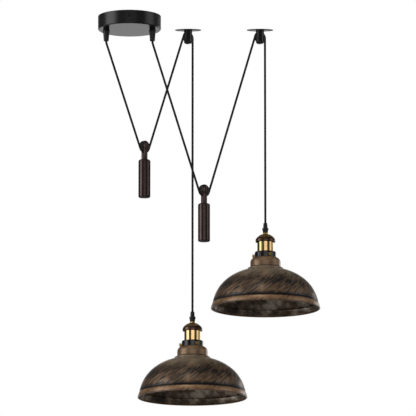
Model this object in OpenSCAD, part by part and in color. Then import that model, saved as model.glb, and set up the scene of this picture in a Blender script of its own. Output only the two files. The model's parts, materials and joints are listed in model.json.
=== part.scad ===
// Rise and fall pendant: two lamps, each balanced by a counterweight that rides in a loop of its own cord.
// Millimetres, +Z up. The origin is the centre of the ceiling rose, on the ceiling, and all of it hangs below.

/* [Cords] */
// Outer diameter of the braided cord
cord_d = 5.6; // [4.8:0.1:6.2]
// Length of cord A along its route, from its outlet to its lamp
cord_a_len = 1405; // [1340:1:1500]
// Length of cord B along its route, from its outlet to its lamp
cord_b_len = 1407; // [1340:1:1500]
// Free space between a cord and a sleeve or a groove round it
cord_clear = 0.25; // [0.15:0.05:0.4]
// How far below its outlet a cord has turned out of the vertical
bend_drop = 4; // [2:0.5:8]
// Radius of the bend inside the rose
inlet_bend = 12; // [9:0.5:14]
// Diameter of one insulated core inside a cord
core_d = 1.5; // [1.2:0.1:1.7]

/* [Ceiling rose] */
// Diameter of the cup
rose_d = 160; // [150:1:180]
// Height of the cup
rose_h = 34.5; // [32:0.5:45]
// Thickness of the cup's sheet
rose_wall = 1.2; // [0.8:0.1:1.6]
// Radius of the cup's lower edge
rose_edge = 3; // [2:0.5:6]
// Distance between the two cord outlets
outlet_gap = 117; // [105:1:122]
// How far the outlets sit in front of the rose's centre line
outlet_front = 16; // [12:1:24]

/* [Rose bracket] */
// Width of the bracket's strap
strap_w = 18; // [14:1:22]
// Thickness of the strap
strap_t = 2; // [1.5:0.1:3]
// Height of the strap's turned-down ends
tab_h = 17; // [15:0.5:20]
// Distance between the two ceiling screw holes
strap_hole_gap = 76; // [74:1:90]
// Diameter of a ceiling screw hole
strap_hole_d = 4.5; // [4:0.1:5]
// How far below the ceiling the two side screws sit
side_screw_drop = 11; // [9:0.5:12]
// Thread diameter of a side screw
side_screw_d = 4; // [3:0.5:5]
// Head diameter of a side screw
side_head_d = 9; // [7:0.5:11]
// Head height of a side screw
side_head_h = 2.6; // [2:0.2:3.4]
// Length of a side screw's thread
side_screw_len = 7; // [6:0.5:9]
// Size across the flats of its key socket
side_key = 3; // [2:0.5:4]

/* [Terminal block] */
// Width of the block, along the cords
block_w = 18; // [14:1:22]
// Distance between its three ways
block_pitch = 7; // [6.5:0.1:7.5]
// Height of the block
block_h = 13; // [11:0.5:16]
// Bore of one way
way_d = 4.4; // [4:0.1:4.8]
// Diameter of a clamping screw
clamp_d = 2.8; // [2.4:0.1:3.2]
// Length of the bare cores between sheath and block
core_run = 12; // [8:1:16]

/* [Cord outlets] */
// Height of an outlet's domed collar
outlet_collar_h = 8; // [6:0.5:11]
// Diameter of the collar at its widest
outlet_collar_d = 18.6; // [17:0.2:20]
// Diameter of the collar where it meets the rose
outlet_seat_d = 15; // [14:0.2:16.5]
// Height of the tapered sleeve below the collar
outlet_sleeve_h = 24.5; // [18:0.5:30]
// Diameter of the sleeve at its top
outlet_sleeve_d = 16.4; // [15:0.2:17.4]
// Diameter of the sleeve at its tip
outlet_tip_d = 12.6; // [11:0.2:14]
// Thread diameter of every threaded shank for a cord
shank_d = 10; // [9.4:0.1:11]
// Thickness of the nut that holds an outlet
nut_t = 3.5; // [3:0.5:5]
// Size across the flats of that nut
nut_af = 14; // [13:0.5:17]

/* [Wheels] */
// Radius at which the middle of the cord runs round a wheel
run_r = 15; // [14.6:0.1:16]
// Depth of the cord groove below the wheel's rim
groove_depth = 2; // [1.6:0.1:2.4]
// Thickness of a wheel
wheel_w = 7.4; // [7:0.1:8]
// Diameter of a wheel's axle
axle_d = 4; // [3:0.5:5]
// Running clearance of a wheel on its axle, on the radius
run_clear = 0.05; // [0.02:0.01:0.09]
// Side clearance of a wheel or a cord in its slot
slot_clear = 0.4; // [0.3:0.05:0.6]

/* [Ceiling pulleys] */
// How far pulley A hangs to the right of the rose's centre
pulley_a_x = 148.2; // [146:1:170]
// How far pulley B hangs to the right of the rose's centre
pulley_b_x = 333; // [325:1:360]
// How far both pulleys hang behind the rose's centre
pulley_back = 152; // [130:1:175]
// Length of a pulley's oval ceiling plate
plate_d = 67; // [62:1:76]
// Depth of the plate at its middle
plate_w = 26; // [24:1:34]
// Radius of the plate's ends
plate_end = 6; // [5:0.5:8]
// Thickness of the plate
plate_t = 2; // [1.8:0.1:3]
// Distance between the plate's two screw holes
plate_pitch = 50; // [46:1:54]
// Diameter of a plate's screw hole
plate_hole_d = 4.2; // [3.6:0.1:5]
// Diameter of the slotted post that holds the wheel
post_d = 21; // [19:0.5:23]
// Solid height of the post above its slot
post_web = 1.4; // [1.2:0.1:2.4]
// How far the post reaches below the axle
post_tail = 15; // [12:0.5:18]
// Radius of the post's lower edge
post_edge = 4.5; // [2:0.5:5.5]
// Space between the cord over the wheel and the top of the slot
slot_head = 0.5; // [0.4:0.1:2]
// Diameter of the rivet that joins post and plate
rivet_d = 6; // [5:0.5:8]

/* [Counterweights] */
// How far below the ceiling the wheel of counterweight A hangs
weight_a_drop = 323; // [300:1:345]
// How far below the ceiling the wheel of counterweight B hangs
weight_b_drop = 436; // [420:1:455]
// How far the wheel's friction holds a counterweight past its balance point
weight_lag = 9; // [0:1:12]
// Diameter of the weight
weight_d = 30.4; // [26:0.2:34]
// Height of the weight
weight_h = 97.5; // [85:0.5:110]
// Radius of the weight's upper edge
weight_shoulder = 4.5; // [2:0.5:6]
// Radius of the weight's lower edge
weight_foot = 3; // [1:0.5:5]
// Diameter of the clevis at its neck
neck_d = 15.6; // [14:0.2:17]
// Length of the neck, from the axle to the weight
neck_len = 35; // [32:0.5:42]
// Diameter of the clevis at its head
head_d = 20.4; // [18:0.2:22]
// Height of the head above the axle
head_top = 12.4; // [11:0.2:14]
// How far the head keeps its full width below the axle
head_skirt = 3; // [1:0.5:5]
// Length of the taper from head to neck
head_taper = 9; // [6:0.5:12]
// Radius of the head's upper edge
head_edge = 5; // [3:0.5:6]
// Thread diameter of the clevis in the weight
stud_d = 10; // [8:0.5:12]
// Length of that thread
stud_len = 16; // [12:1:24]

/* [Lamp cord grip] */
// Height of the grip's tapered tip
grip_cone_h = 13.7; // [10:0.1:17]
// Diameter of the tip at its top
grip_tip_d = 9.8; // [9:0.1:11]
// Diameter of the tip at its foot
grip_foot_d = 11.8; // [11.2:0.1:13]
// Height of the flange below the tip
grip_flange_h = 3.8; // [3:0.1:5]
// Diameter of the flange
grip_flange_d = 16.4; // [15.4:0.1:18]
// Height of the collar below the flange
grip_collar_h = 8.5; // [6:0.1:11]
// Diameter of the collar at its top
grip_collar_d = 15; // [14:0.1:15.3]
// Diameter of the collar at its foot
grip_seat_d = 12.8; // [12.2:0.1:13.8]

/* [Lamp holder] */
// Length of the cap's nipple
nipple_h = 2.1; // [1.5:0.1:5]
// Outer diameter of the nipple
nipple_d = 12.4; // [12:0.1:13.6]
// Radius of the cap's dome
cap_ball = 28.8; // [27.5:0.1:32]
// Diameter of the cap at its skirt
cap_d = 50.6; // [48:0.2:53]
// Height of the cap from its dome's top to its skirt's edge
cap_h = 21.4; // [20:0.2:24]
// Thickness of the cap's and the sleeve's sheet
cap_wall = 0.9; // [0.7:0.1:1.2]
// Diameter of the polished sleeve
sleeve_d = 41.8; // [40.8:0.1:43]
// Length of the sleeve that shows below the cap
sleeve_show = 25.2; // [18:0.2:32]
// Length of the sleeve inside the cap
sleeve_tuck = 5.5; // [4:0.5:6]
// Thickness of the sleeve's flange in the cap
sleeve_flange_t = 1; // [0.8:0.1:1.4]
// Diameter of the insulating core below the sleeve
core_body_d = 39.4; // [38.6:0.1:40.6]
// How far the core reaches below the sleeve
core_reach = 23.3; // [20:0.1:28]
// Bore of the lamp thread, for an E27 bulb
thread_bore = 26.7; // [26.5:0.1:27.2]
// Thickness of the threaded shell
shell_wall = 0.7; // [0.5:0.1:1]
// Depth of the bulb's socket
socket_depth = 30; // [27:0.5:34]
// Diameter of the centre contact
contact_d = 8; // [6:0.5:10]
// Height of the centre contact
contact_h = 2.4; // [1.5:0.1:4]

/* [Shade fitter] */
// Outer diameter of the fitter ring
fitter_d = 54.8; // [53:0.2:58]
// Height of the fitter ring
fitter_h = 14.6; // [12.8:0.2:18]
// Thickness of the fitter ring's wall
fitter_wall = 2; // [1.5:0.1:2.5]
// Radius of the fitter ring's upper edge
fitter_edge = 2.8; // [2.6:0.1:4]
// Height of the clamping ring inside it
clamp_h = 5; // [4:0.5:6]
// Thickness of the clamping ring's wall
clamp_wall = 2.6; // [2:0.1:3]
// Thread diameter of a thumb screw
thumb_d = 4; // [3:0.2:5]
// Head diameter of a thumb screw
thumb_head_d = 8.6; // [7:0.2:9.4]
// Head length of a thumb screw
thumb_head_h = 5; // [4:0.2:7]
// Space between a thumb screw's head and the ring
thumb_out = 1; // [0.6:0.1:3]
// Width of the slot in a thumb screw's head
thumb_slot = 1.4; // [1:0.1:2]
// How far the thumb screws sit above the ring's lower edge
thumb_rise = 4.7; // [4.4:0.1:5.6]
// Direction of the first thumb screw, counted from +X
thumb_turn = -70; // [-90:1:-40]

/* [Shade] */
// Thickness of the shade's sheet
shade_wall = 0.8; // [0.6:0.1:1.4]
// Height of the collar inside the fitter ring
shade_collar_h = 7; // [6.8:0.1:8]
// Diameter of the shade's neck
shade_neck_d = 77.6; // [72:0.2:82]
// Height of the neck
shade_neck_h = 29.3; // [27:0.1:32]
// Radius of the neck's shoulder
shade_shoulder = 13.5; // [9:0.5:13.5]
// Radius of the groove below the neck
neck_groove = 2.6; // [2:0.1:3]
// Diameter of the step round the neck's foot
foot_d = 92; // [90:1:98]
// How far the step stands above the dome's crown
foot_rise = 2.3; // [1.8:0.1:3]
// Diameter of the dome at its widest
dome_d = 256.8; // [250:0.2:262]
// Height of the dome, from its crown to the groove above the lip
dome_h = 82.8; // [79:0.1:86]
// Radius of the dome's arc
dome_arc = 124; // [121:0.5:129]
// Radius of the smaller arc at the dome's edge
edge_arc = 30.6; // [26:0.1:34]
// How far the dome's widest place lies above that groove
edge_rise = 9.8; // [7:0.1:12]
// Radius of the groove above the lip
lip_groove = 1.6; // [1.2:0.1:2.2]
// Height of the lip below the groove
lip_h = 20; // [17:0.1:21]
// How far the lip's top lies inside the dome's lower edge
lip_step = 1.9; // [0:0.1:2.2]
// Diameter of the shade at its rim
rim_d = 279.2; // [276:0.2:290]
// Diameter of the bead rolled at the rim
rim_bead = 3; // [2.4:0.1:4]

/* [Clearances] */
// Gap between pieces that are screwed or pressed to each other
seat_gap = 0.1; // [0.05:0.01:0.2]
// Gap between the ends of two stretches of cord that move apart
end_gap = 0.2; // [0.1:0.05:0.3]
// Clearance of a screw in its hole, on the radius
screw_clear = 0.03; // [0.02:0.01:0.1]

/* [Hidden] */

$fn = 96;
// A cut runs this far past the face that it opens
bite = 1;
// Sides of a swept cord, and the steps of its bend
cord_sides = 12;
bend_steps = 5;
// Bore of everything that a cord passes
cord_bore = cord_d + 2 * cord_clear;
// Distance between the cores where they leave a cord, as a share of their diameter
core_spread = 0.6;
// Top diameter of a side screw's head, and the depth of its socket, as shares of the whole
side_head_taper = 0.7;
side_socket = 0.5;
// How far a clamping screw sits below the block's face
clamp_sink = 0.8;
// Depth of a thumb screw's slot as a share of its head
thumb_slot_depth = 0.3;
// How far the middle of a rolled groove lies outside the sheet, as a share of its radius
groove_out = 0.5;
// How far the smaller of two arcs that run into each other stands proud where they meet
arc_cross = 0.01;
// How far a grip's thread reaches below the cap's nipple
shank_reach = 6;

// Strand 0 is cord A and strand 1 is cord B
cord_len = [cord_a_len, cord_b_len];
outlet_at = [[-outlet_gap / 2, -outlet_front], [outlet_gap / 2, -outlet_front]];
pulley_at = [[pulley_a_x, pulley_back], [pulley_b_x, pulley_back]];

// Heights under the ceiling
outlet_h = outlet_collar_h + outlet_sleeve_h;
exit_z = -(rose_h + outlet_h);
turn_z = exit_z - bend_drop;
axle_z = -(plate_t + post_web + slot_head + run_r + cord_d / 2);
wheel_z = [-weight_a_drop, -weight_b_drop];

// A strand lies in the upright plane from its outlet to its pulley
reach = [for (i = [0, 1]) norm(pulley_at[i] - outlet_at[i])];
turn = [for (i = [0, 1]) atan2(pulley_at[i].y - outlet_at[i].y, pulley_at[i].x - outlet_at[i].x)];

// With both legs of the loop at one angle the pulls on the wheel balance
fall = [for (i = [0, 1]) turn_z + axle_z - 2 * wheel_z[i]];
even = [for (i = [0, 1]) acos(3 * run_r / norm([reach[i], fall[i]])) - atan2(fall[i], reach[i])];
balance = [for (i = [0, 1]) (run_r + (turn_z - wheel_z[i]) * sin(even[i])) / cos(even[i])];
wheel_u = [for (i = [0, 1]) balance[i] + weight_lag];

// The two legs: their spans to the next wheel's centre, their angles off the vertical and their lengths
span_out = [for (i = [0, 1]) [wheel_u[i], turn_z - wheel_z[i]]];
span_back = [for (i = [0, 1]) [reach[i] - wheel_u[i], axle_z - wheel_z[i]]];
lean_out = [for (s = span_out) atan2(s.x, s.y) - asin(run_r / norm(s))];
lean_back = [for (s = span_back) atan2(s.x, s.y) - asin(2 * run_r / norm(s))];
leg_out = [for (s = span_out) sqrt(s * s - run_r * run_r)];
leg_back = [for (s = span_back) sqrt(s * s - 4 * run_r * run_r)];
exit_bend = [for (a = lean_out) bend_drop / tan(a / 2)];
radian = PI / 180;
bend_len = [for (i = [0, 1]) exit_bend[i] * lean_out[i] * radian];
bight_len = [for (i = [0, 1]) run_r * (180 - lean_out[i] - lean_back[i]) * radian];
over_len = [for (i = [0, 1]) run_r * (180 - lean_back[i]) * radian];
drop = [for (i = [0, 1])
    cord_len[i] - bend_len[i] - (leg_out[i] - bend_drop) - bight_len[i] - leg_back[i] - over_len[i]];
lamp_z = [for (i = [0, 1]) axle_z - drop[i]];
lamp_at = [for (i = [0, 1]) pulley_at[i] + run_r * [cos(turn[i]), sin(turn[i])]];
for (i = [0, 1])
    echo(strand = i, lamp = [lamp_at[i].x, lamp_at[i].y, lamp_z[i]], wheel_u = wheel_u[i], turn = turn[i]);

// Wheel
wheel_r = run_r - cord_d / 2 + groove_depth;
slot_w = wheel_w + 2 * slot_clear;
axle_hole_d = axle_d + 2 * screw_clear;

// Inside the rose
rose_r = rose_d / 2;
tab_reach = sqrt(pow(rose_r - rose_wall - seat_gap, 2) - pow(strap_w / 2, 2));
block_l = 3 * block_pitch;
way_z = -(strap_t + block_h / 2);
clamp_at = [-block_w / 4, block_w / 4];

// Heights under a lamp's grip
flange_z = -grip_cone_h;
collar_z = flange_z - grip_flange_h;
nipple_z = collar_z - grip_collar_h;
dome_z = nipple_z - nipple_h;
skirt_z = dome_z - cap_h;
sleeve_top = skirt_z + sleeve_tuck;
fitter_z = skirt_z - sleeve_show;
mouth_z = fitter_z - core_reach;
core_top = skirt_z - bite;
fitter_foot = fitter_z - fitter_h;
shade_z = fitter_foot - seat_gap;
dome_top = shade_z - shade_neck_h;
lip_z = dome_top - dome_h;
rim_z = lip_z - lip_h;
thumb_z = fitter_foot + thumb_rise;
collar_r = fitter_d / 2 - fitter_wall - 4 * seat_gap;
shank_len = nipple_h + shank_reach;

// Centre of the small arc at the dome's edge
edge_mid = [dome_d / 2 - edge_arc, lip_z + edge_rise];
// Centre of the dome's arc: the small arc runs out of it, a hair proud so that the two cross
mid_gap = dome_arc - edge_arc + arc_cross;
dome_mid_z = dome_top - dome_arc;
dome_mid = [edge_mid.x - sqrt(pow(mid_gap, 2) - pow(edge_mid.y - dome_mid_z, 2)), dome_mid_z];
// From the large arc's centre towards the place where the arcs meet
dome_turn = (edge_mid - dome_mid) / mid_gap;
// How far out the lip starts, and how much it flares from there to the rim
lip_r = edge_mid.x + sqrt(pow(edge_arc, 2) - pow(edge_rise, 2)) - lip_step;
flare = rim_d / 2 - rim_bead / 4 - lip_r;
// The lip's side is an arc that comes out upright at the rim
lip_arc = (pow(flare, 2) + pow(lip_h, 2)) / (2 * flare);
lip_mid = [lip_r + flare - lip_arc, rim_z];
// How far the dome has fallen away where the neck's wall meets it
dome_dip = dome_arc - sqrt(pow(dome_arc, 2) - pow(shade_neck_d / 2 - dome_mid.x, 2));
// And where the wall of the step round the neck's foot meets it
foot_dip = dome_arc - sqrt(pow(dome_arc, 2) - pow(foot_d / 2 - dome_mid.x, 2));

module place_strand(i) {
    translate([outlet_at[i].x, outlet_at[i].y, 0]) rotate([0, 0, turn[i]]) children();
}

module place_pulley(i) {
    translate([pulley_at[i].x, pulley_at[i].y, 0]) rotate([0, 0, turn[i]]) children();
}

module place_weight(i) {
    place_strand(i) translate([wheel_u[i], 0, wheel_z[i]]) children();
}

module place_lamp(i) {
    translate([lamp_at[i].x, lamp_at[i].y, lamp_z[i]]) children();
}

// A shaft along Y, centred
module cross_pin(d, len) {
    rotate([90, 0, 0]) cylinder(d = d, h = len, center = true);
}

// A straight piece of cord, at an angle off the vertical
module straight_cord(from, lean, len) {
    translate([from.x, 0, from.y]) rotate([0, lean, 0]) cylinder(d = cord_d, h = len);
}

// A curved piece of cord in the upright plane
module curved_cord(mid, radius, from, to) {
    translate([mid.x, 0, mid.y]) rotate([90, 0, 0]) rotate([0, 0, from])
        rotate_extrude(angle = to - from) translate([radius, 0]) circle(d = cord_d);
}

// A cord that falls through the points of an upright plane; leans are its angles off the vertical there
module swept_cord(route, leans) {
    rings = len(route);
    sides = cord_sides;
    points = [for (k = [0:rings - 1], s = [0:sides - 1])
        let (out = cord_d / 2 * cos(360 * s / sides))
        [route[k].x + out * cos(leans[k]), cord_d / 2 * sin(360 * s / sides), route[k].y + out * sin(leans[k])]];
    walls = [for (k = [0:rings - 2], s = [0:sides - 1])
        let (a = k * sides + s, b = k * sides + (s + 1) % sides)
        [a, b, b + sides, a + sides]];
    start = [for (s = [sides - 1:-1:0]) s];
    finish = [for (s = [0:sides - 1]) (rings - 1) * sides + s];
    polyhedron(points, concat(walls, [start, finish]), convexity = 4);
}

// Half outline of a drum whose upper edge is rounded; its top is at 0
module drum_half(r, h, edge) {
    translate([0, -h]) square([r, h - edge]);
    translate([0, -edge]) square([r - edge, edge]);
    translate([r - edge, -edge]) circle(r = edge);
}

// Half outline of the rose, from the ceiling down
module rose_half(r, h, edge) {
    translate([0, -h]) mirror([0, 1]) drum_half(r, h, edge);
}

module rose_cup() {
    color("#1e1d1c") difference() {
        rotate_extrude() difference() {
            rose_half(rose_r, rose_h, rose_edge);
            rose_half(rose_r - rose_wall, rose_h - rose_wall, rose_edge - rose_wall);
        }
        for (p = outlet_at)
            translate([p.x, p.y, -rose_h - bite])
                cylinder(d = shank_d + 2 * seat_gap, h = rose_wall + 2 * bite);
        translate([0, 0, -side_screw_drop])
            cross_pin(side_screw_d + 2 * seat_gap, rose_d + 2 * bite);
    }
}

module rose_bracket() {
    color("#b9bcc0") difference() {
        union() {
            translate([-strap_w / 2, -tab_reach, -strap_t]) cube([strap_w, 2 * tab_reach, strap_t]);
            for (side = [0, 1])
                mirror([0, side, 0]) translate([-strap_w / 2, tab_reach - strap_t, -tab_h])
                    cube([strap_w, strap_t, tab_h]);
        }
        for (y = [-strap_hole_gap / 2, strap_hole_gap / 2])
            translate([0, y, -strap_t - bite]) cylinder(d = strap_hole_d, h = strap_t + 2 * bite);
        translate([0, 0, -side_screw_drop])
            cross_pin(side_screw_d + 2 * screw_clear, 2 * tab_reach + 2 * bite);
    }
}

module side_screw() {
    difference() {
        union() {
            translate([0, -side_screw_len, 0]) rotate([-90, 0, 0])
                cylinder(d = side_screw_d, h = side_screw_len + bite);
            translate([0, seat_gap, 0]) rotate([-90, 0, 0])
                cylinder(d1 = side_head_d, d2 = side_head_taper * side_head_d, h = side_head_h);
        }
        translate([0, seat_gap + (1 - side_socket) * side_head_h, 0]) rotate([-90, 0, 0])
            cylinder(d = side_key * 2 / sqrt(3), h = side_head_h, $fn = 6);
    }
}

module side_screws() {
    color("#2a2827")
        for (side = [0, 1])
            mirror([0, side, 0]) translate([0, rose_r, -side_screw_drop]) side_screw();
}

module terminal_block() {
    color("#e8e2d2") translate([0, -outlet_front, way_z]) difference() {
        cube([block_w, block_l, block_h], center = true);
        for (k = [-1:1]) translate([0, k * block_pitch, 0]) {
            rotate([0, 90, 0]) cylinder(d = way_d, h = block_w + 2 * bite, center = true);
            for (x = clamp_at)
                translate([x, 0, -block_h / 2 - bite])
                    cylinder(d = clamp_d + 2 * screw_clear, h = block_h / 2 + bite);
        }
    }
}

module clamp_screws() {
    color("#c9a55c") translate([0, -outlet_front, way_z - block_h / 2 + clamp_sink])
        for (k = [-1:1], x = clamp_at)
            translate([x, k * block_pitch, 0]) cylinder(d = clamp_d, h = (block_h - way_d) / 2 - clamp_sink);
}

module outlet(i) {
    color("#161616") translate([outlet_at[i].x, outlet_at[i].y, 0]) difference() {
        union() {
            translate([0, 0, -rose_h - outlet_collar_h])
                cylinder(d1 = outlet_collar_d, d2 = outlet_seat_d, h = outlet_collar_h);
            translate([0, 0, exit_z])
                cylinder(d1 = outlet_tip_d, d2 = outlet_sleeve_d, h = outlet_sleeve_h);
            translate([0, 0, -rose_h - bite])
                cylinder(d = shank_d, h = bite + rose_wall + nut_t + seat_gap + bite);
        }
        translate([0, 0, exit_z - bite]) cylinder(d = cord_bore, h = outlet_h + rose_h);
    }
}

module outlet_nut(i) {
    color("#c8c8c6")
        translate([outlet_at[i].x, outlet_at[i].y, -rose_h + rose_wall + seat_gap]) difference() {
            cylinder(d = nut_af * 2 / sqrt(3), h = nut_t, $fn = 6);
            translate([0, 0, -bite])
                cylinder(d = shank_d + 2 * screw_clear, h = nut_t + 2 * bite);
        }
}

// One insulated core between two points
module core_wire(from, to) {
    way = to - from;
    translate(from) rotate([0, acos(way.z / norm(way)), atan2(way.y, way.x)])
        cylinder(d = core_d, h = norm(way));
}

module cord_inlet(i) {
    rise = way_z - inlet_bend;
    run = outlet_gap / 2 - inlet_bend - block_w / 2 - core_run;
    color("#3b3a38") translate([outlet_at[i].x, outlet_at[i].y, 0]) mirror([i, 0, 0]) {
        straight_cord([0, exit_z], 0, rise - exit_z);
        curved_cord([inlet_bend, rise], inlet_bend, 90, 180);
        straight_cord([inlet_bend, way_z], 90, run);
        for (k = [-1:1])
            core_wire(
                [inlet_bend + run - bite, k * core_d * core_spread, way_z],
                [inlet_bend + run + core_run + bite, k * block_pitch, way_z]);
    }
}

// From the outlet's tip to the counterweight's wheel
module cord_out_leg(i) {
    bend = exit_bend[i];
    leans = [for (k = [0:bend_steps]) lean_out[i] * k / bend_steps];
    round = [for (a = leans) [bend * (1 - cos(a)), exit_z - bend * sin(a)]];
    ahead = (leg_out[i] - bend_drop - end_gap) * [sin(lean_out[i]), -cos(lean_out[i])];
    color("#3b3a38") place_strand(i)
        swept_cord(concat(round, [round[bend_steps] + ahead]), concat(leans, [lean_out[i]]));
}

// From the counterweight's wheel up to the ceiling wheel
module cord_back_leg(i) {
    lean = lean_back[i];
    foot = [wheel_u[i] + run_r * cos(lean), wheel_z[i] - run_r * sin(lean)];
    color("#3b3a38") place_strand(i)
        straight_cord(foot + end_gap * [sin(lean), cos(lean)], lean, leg_back[i] - end_gap);
}

module cord_bight(i) {
    color("#3b3a38") place_weight(i) curved_cord([0, 0], run_r, 180 + lean_out[i], 360 - lean_back[i]);
}

module cord_over(i) {
    color("#3b3a38") place_pulley(i) curved_cord([0, axle_z], run_r, 0, 180 - lean_back[i]);
}

module cord_drop(i) {
    color("#3b3a38") place_lamp(i)
        translate([0, 0, end_gap]) cylinder(d = cord_d, h = drop[i] - end_gap);
}

// The plate's two long sides are arcs that run into its round ends
module plate_outline() {
    end_x = plate_d / 2 - plate_end;
    tip = plate_end - arc_cross;
    side_r = (end_x * end_x + plate_w * plate_w / 4 - tip * tip) / (plate_w - 2 * tip);
    meet = end_x * side_r / (side_r - tip);
    intersection() {
        translate([0, plate_w / 2 - side_r]) circle(r = side_r);
        translate([0, side_r - plate_w / 2]) circle(r = side_r);
        translate([-meet, -plate_w / 2]) square([2 * meet, plate_w]);
    }
    for (side = [-1, 1]) translate([side * end_x, 0]) circle(r = plate_end);
}

// Both plates lie square to the front, however their pulleys are turned
module plate(i) {
    color("#191918") translate([pulley_at[i].x, pulley_at[i].y, 0]) difference() {
        translate([0, 0, -plate_t]) linear_extrude(plate_t) plate_outline();
        for (side = [-1, 1])
            translate([side * plate_pitch / 2, 0, -plate_t - bite])
                cylinder(d = plate_hole_d, h = plate_t + 2 * bite);
        translate([0, 0, -plate_t - bite]) cylinder(d = rivet_d + 2 * screw_clear, h = plate_t + 2 * bite);
    }
}

module post(i) {
    foot = -axle_z + post_tail;
    color("#141414") place_pulley(i) difference() {
        union() {
            translate([0, 0, -foot]) mirror([0, 0, 1]) rotate_extrude()
                drum_half(post_d / 2, foot - plate_t, post_edge);
            translate([0, 0, -plate_t - bite]) cylinder(d = rivet_d, h = plate_t + bite);
        }
        translate([-post_d, -slot_w / 2, -foot - bite])
            cube([2 * post_d, slot_w, foot + bite - plate_t - post_web]);
        translate([0, 0, axle_z]) cross_pin(axle_hole_d, post_d + bite);
    }
}

// Its ends sit just below the post's face
module pulley_axle(i) {
    color("#6d6a66") place_pulley(i) translate([0, 0, axle_z]) cross_pin(axle_d, post_d - bite);
}

module wheel() {
    groove = cord_d / 2 + cord_clear;
    difference() {
        rotate([90, 0, 0]) rotate_extrude() difference() {
            translate([0, -wheel_w / 2]) square([wheel_r, wheel_w]);
            translate([run_r, 0]) circle(r = groove);
        }
        cross_pin(axle_d + 2 * run_clear, wheel_w + 2 * bite);
    }
}

module pulley_wheel(i) {
    color("#1b1b1b") place_pulley(i) translate([0, 0, axle_z]) wheel();
}

module clevis(i) {
    slot_foot = run_r + cord_d / 2 + slot_head;
    color("#2e2726") place_weight(i) difference() {
        union() {
            translate([0, 0, head_top]) rotate_extrude()
                drum_half(head_d / 2, head_top + head_skirt, head_edge);
            translate([0, 0, -head_skirt - head_taper])
                cylinder(d1 = neck_d, d2 = head_d, h = head_taper);
            translate([0, 0, -neck_len]) cylinder(d = neck_d, h = neck_len);
            translate([0, 0, -neck_len - stud_len]) cylinder(d = stud_d, h = stud_len + bite);
        }
        translate([-head_d, -slot_w / 2, -slot_foot])
            cube([2 * head_d, slot_w, slot_foot + head_top + bite]);
        cross_pin(axle_hole_d, head_d + bite);
    }
}

module weight_axle(i) {
    color("#151312") place_weight(i) cross_pin(axle_d, head_d - bite);
}

module weight_wheel(i) {
    color("#1b1b1b") place_weight(i) wheel();
}

module weight(i) {
    color("#3a3130") place_weight(i) translate([0, 0, -neck_len - seat_gap]) difference() {
        rotate_extrude() {
            drum_half(weight_d / 2, weight_h / 2, weight_shoulder);
            translate([0, -weight_h]) mirror([0, 1])
                drum_half(weight_d / 2, weight_h / 2, weight_foot);
        }
        translate([0, 0, -stud_len - bite]) cylinder(d = stud_d + 2 * screw_clear, h = stud_len + 2 * bite);
    }
}

module grip(i) {
    color("#1a1a1a") place_lamp(i) difference() {
        union() {
            translate([0, 0, flange_z]) cylinder(d1 = grip_foot_d, d2 = grip_tip_d, h = grip_cone_h);
            translate([0, 0, collar_z]) cylinder(d = grip_flange_d, h = grip_flange_h);
            translate([0, 0, nipple_z])
                cylinder(d1 = grip_seat_d, d2 = grip_collar_d, h = grip_collar_h);
            translate([0, 0, nipple_z - shank_len]) cylinder(d = shank_d, h = shank_len + bite);
        }
        translate([0, 0, nipple_z - shank_len - bite])
            cylinder(d = cord_bore, h = shank_len - nipple_z + 2 * bite);
    }
}

// The cord's end inside the lamp, and its cores down to the insulating core
module cord_tail(i) {
    sheath = -nipple_z + shank_len + bite;
    color("#3b3a38") place_lamp(i) {
        translate([0, 0, -sheath]) cylinder(d = cord_d, h = sheath);
        for (k = [-1:1])
            core_wire(
                [k * core_d * core_spread, 0, -sheath + bite], [k * block_pitch, 0, core_top + seat_gap]);
    }
}

// Half outline of the cap's outside, or of its inside when it is thinner by a wall
module cap_half(wall) {
    intersection() {
        translate([0, dome_z - cap_ball]) circle(r = cap_ball - wall);
        translate([0, skirt_z - wall * bite]) square([cap_d / 2 - wall, cap_h + bite]);
    }
}

module cap(i) {
    color("#8a6138") place_lamp(i) difference() {
        rotate_extrude() difference() {
            union() {
                cap_half(0);
                translate([0, dome_z - cap_wall]) square([nipple_d / 2, nipple_h + cap_wall - seat_gap]);
            }
            cap_half(cap_wall);
        }
        translate([0, 0, dome_z - 2 * bite])
            cylinder(d = shank_d + 2 * screw_clear, h = nipple_h + 3 * bite);
    }
}

module sleeve(i) {
    color("#b07a3c") place_lamp(i) difference() {
        union() {
            translate([0, 0, fitter_z]) cylinder(d = sleeve_d, h = sleeve_top - fitter_z);
            translate([0, 0, sleeve_top - sleeve_flange_t])
                cylinder(d = cap_d - 2 * cap_wall - 2 * seat_gap, h = sleeve_flange_t);
        }
        translate([0, 0, fitter_z - bite])
            cylinder(d = sleeve_d - 2 * cap_wall, h = sleeve_top - fitter_z + 2 * bite);
    }
}

module core(i) {
    shell_d = thread_bore + 2 * shell_wall + 2 * seat_gap;
    color("#e9e4d8") place_lamp(i) difference() {
        union() {
            translate([0, 0, mouth_z]) cylinder(d = core_body_d, h = fitter_z - mouth_z);
            translate([0, 0, fitter_z])
                cylinder(d = sleeve_d - 2 * cap_wall - 6 * seat_gap, h = core_top - fitter_z);
        }
        translate([0, 0, mouth_z - bite]) cylinder(d = shell_d, h = socket_depth + bite);
    }
}

module thread_shell(i) {
    shell_h = socket_depth - bite - contact_h - 3 * seat_gap;
    color("#c79a4e") place_lamp(i) translate([0, 0, mouth_z + bite]) difference() {
        cylinder(d = thread_bore + 2 * shell_wall, h = shell_h);
        translate([0, 0, -bite]) cylinder(d = thread_bore, h = socket_depth + bite);
    }
}

module contact(i) {
    color("#d0a860") place_lamp(i)
        translate([0, 0, mouth_z + socket_depth - contact_h]) cylinder(d = contact_d, h = contact_h);
}

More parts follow.
